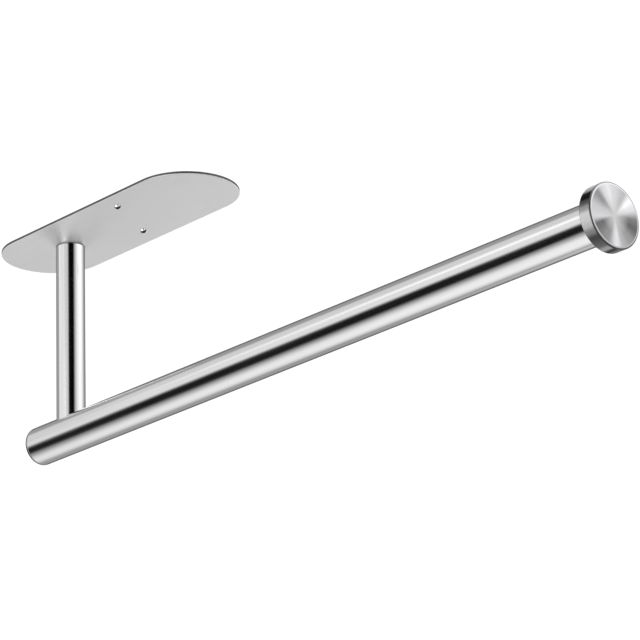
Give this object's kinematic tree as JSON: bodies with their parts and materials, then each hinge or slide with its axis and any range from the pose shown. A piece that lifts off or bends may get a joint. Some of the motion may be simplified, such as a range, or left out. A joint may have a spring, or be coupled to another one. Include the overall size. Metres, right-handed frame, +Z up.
{
  "type": "paper towel holder",
  "caption": "Under-cabinet paper towel holder: round-ended steel plate, tube post and a level tube bar, open at one side, with a wider disc cap that keeps the roll on.",
  "frame": {"origin": "middle of the top face of the adhesive sheet, the face that meets the cabinet", "axes": "+X along the bar to its free end with the cap, +Y to the back of the cabinet, +Z up into the cabinet"},
  "size_m": [0.3405, 0.044, 0.0969],
  "materials": {
    "satin_stainless_sheet": "satin brushed, edges lightly rounded",
    "bright_stainless_tube": "finely polished drawn tube",
    "turned_stainless": "turned, with a spun face and a bright bevel",
    "headed_rivet_steel": "dark finished, small domed head pressed in a polished die",
    "acrylic_foam": "closed-cell foam tape",
    "zinc_plated_steel": "bright zinc plating",
    "turned_brass": "turned",
    "die_cast_aluminium": "as cast"
  },
  "bodies": {
    "root": {"mounting_plate": "satin_stainless_sheet", "adhesive_sheet": "acrylic_foam", "locating_rivet_a": "headed_rivet_steel", "locating_rivet_b": "headed_rivet_steel", "post_tube": "bright_stainless_tube", "towel_bar": "bright_stainless_tube", "end_cap": "turned_stainless", "tail_plug": "turned_stainless", "tie_screw": "zinc_plated_steel", "tie_nut": "zinc_plated_steel", "cap_stud": "zinc_plated_steel", "bar_insert": "turned_brass", "post_bush": "die_cast_aluminium"}
  },
  "joints": []
}
